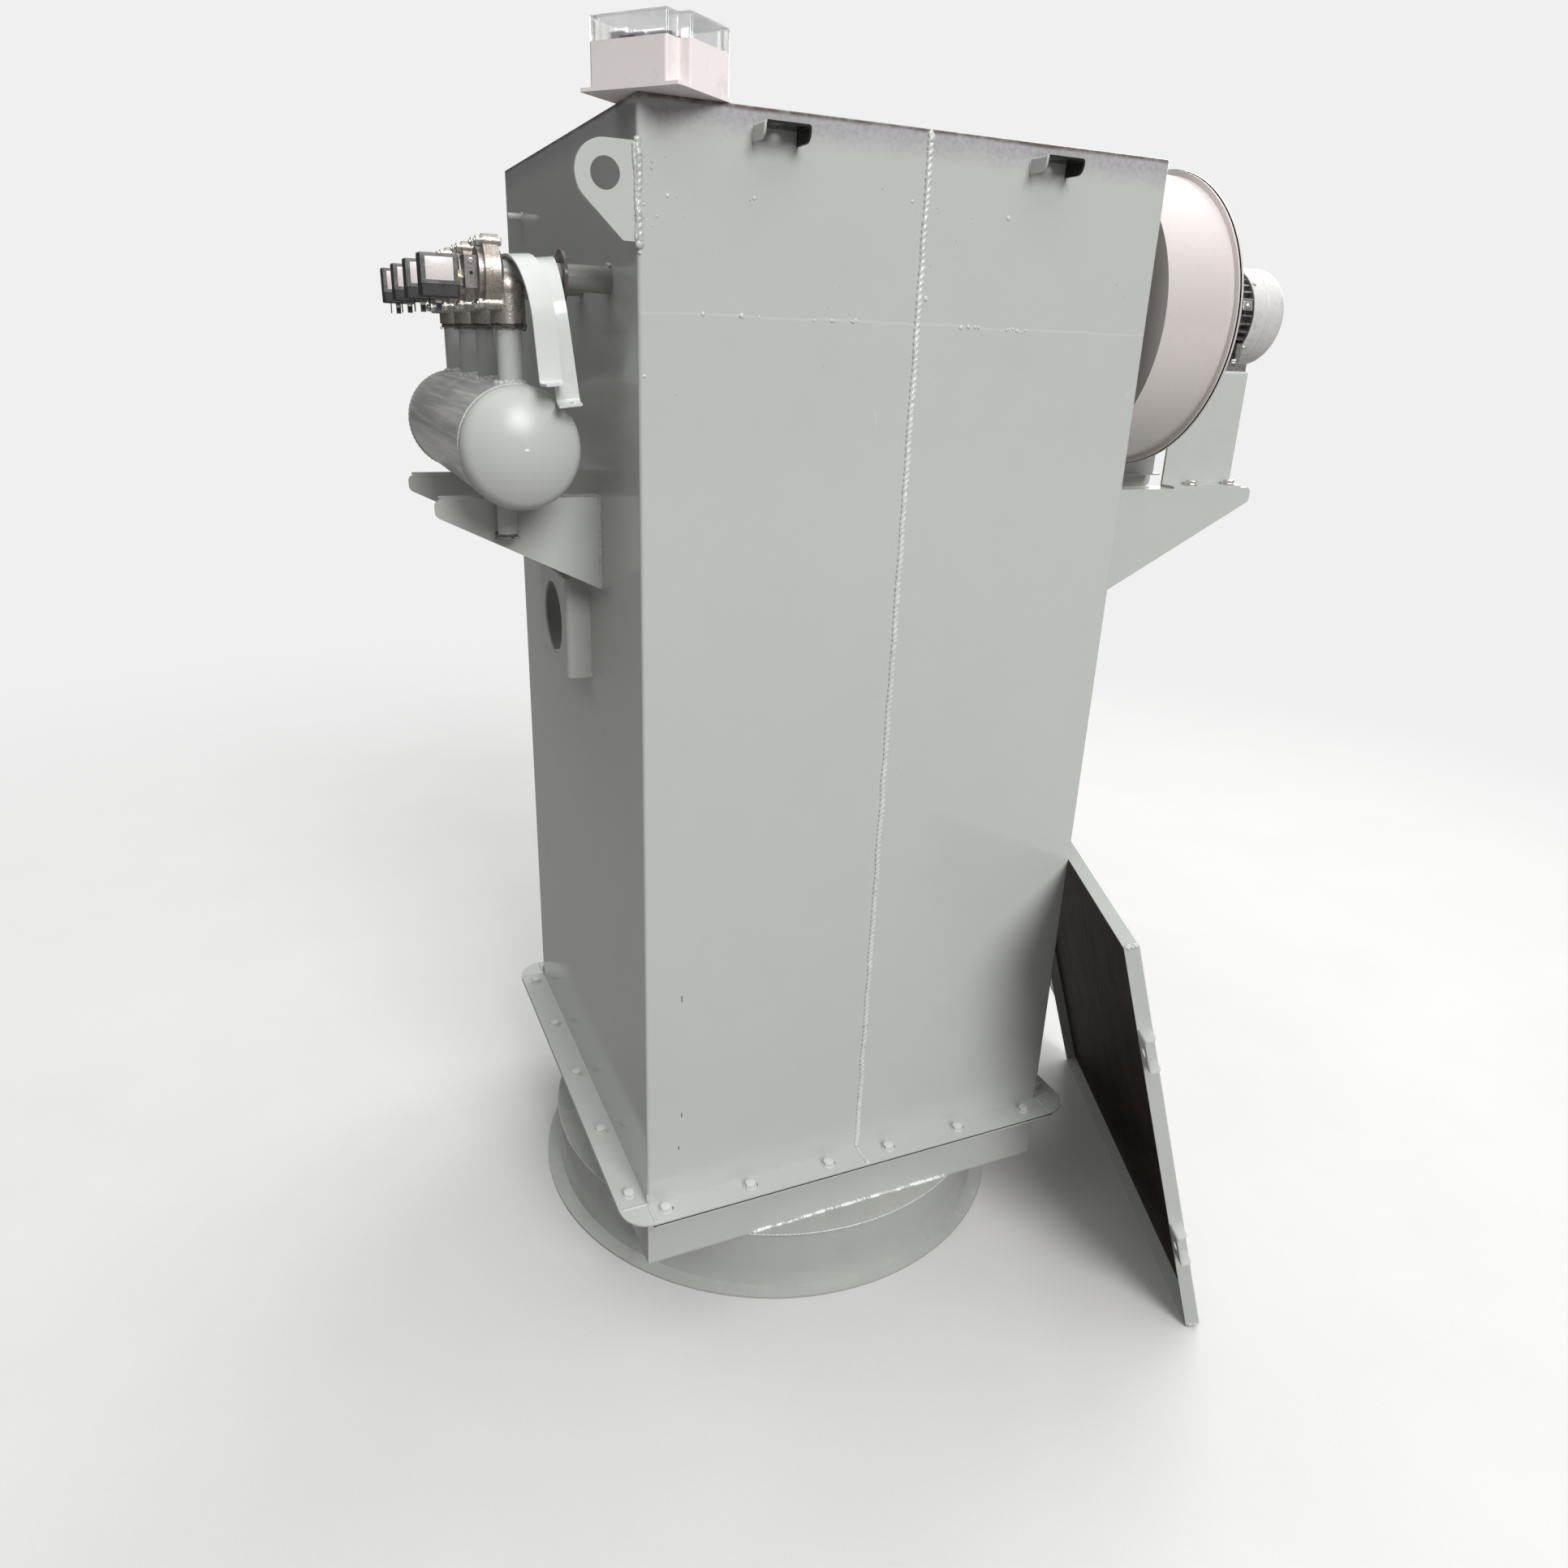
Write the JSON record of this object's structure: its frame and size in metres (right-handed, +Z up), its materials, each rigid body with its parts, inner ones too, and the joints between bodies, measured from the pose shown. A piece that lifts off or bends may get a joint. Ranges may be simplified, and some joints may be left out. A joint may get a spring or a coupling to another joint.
{
  "type": "pulse bag dust collector",
  "caption": "Square sheet-steel pulse-jet bag filter on a round base ring, with side air tank, pulse valves, blow pipes, side fan and motor, and its pan cover leaning against it.",
  "frame": {"origin": "centre of the base ring at floor level", "axes": "+Z up, +X towards the fan, +Y from the seamed front to the back"},
  "size_m": [1.4654, 1.2789, 1.974],
  "materials": {
    "paint": "semi-gloss grey-green paint with weld marks",
    "pan_paint": "thin dark coat over bare sheet inside",
    "seal": "dull black",
    "tank_paint": "semi-gloss grey-green paint",
    "pipe_paint": "semi-gloss grey-green paint",
    "cast": "as cast",
    "coil": "black moulded",
    "fan_paint": "silvery grey paint",
    "motor_paint": "silvery grey paint",
    "motor_iron": "painted silvery grey",
    "box_body": "white moulded",
    "box_lid": "clear moulded",
    "zinc": "dull bare steel"
  },
  "bodies": {
    "root": {"base_ring": "paint", "closing_plate": "paint", "skirt_front": "paint", "skirt_right": "paint", "skirt_back": "paint", "skirt_left": "paint", "flange_seal": "seal", "housing_left_half": "paint", "housing_right_half": "paint", "flange_corner_plates": "paint", "tube_sheet": "paint", "blow_pipes": "pipe_paint", "wall_stiffeners": "paint", "pipe_rest_bar": "paint", "tank_shell": "tank_paint", "tank_end_front": "tank_paint", "tank_end_back": "tank_paint", "tank_risers": "tank_paint", "drain_socket": "zinc", "valve_bodies": "cast", "valve_covers": "cast", "valve_pilots": "cast", "valve_coils": "coil", "tank_brackets": "paint", "tank_hoop_outer": "paint", "tank_hoop_inner": "paint", "pipe_discs": "seal", "standoff_bracket": "paint", "wall_stub": "paint", "lifting_lugs": "paint", "housing_clips": "paint", "top_cover": "paint", "cover_clips": "paint", "controller_base": "box_body", "controller_box": "box_body", "controller_lid": "box_lid", "fan_casing": "fan_paint", "fan_back_plate": "fan_paint", "fan_inlet_ring": "fan_paint", "fan_impeller": "zinc", "motor_body": "motor_iron", "motor_cowl": "motor_paint", "motor_foot": "motor_iron", "motor_stand": "fan_paint", "fan_brackets": "paint"}
  },
  "joints": []
}
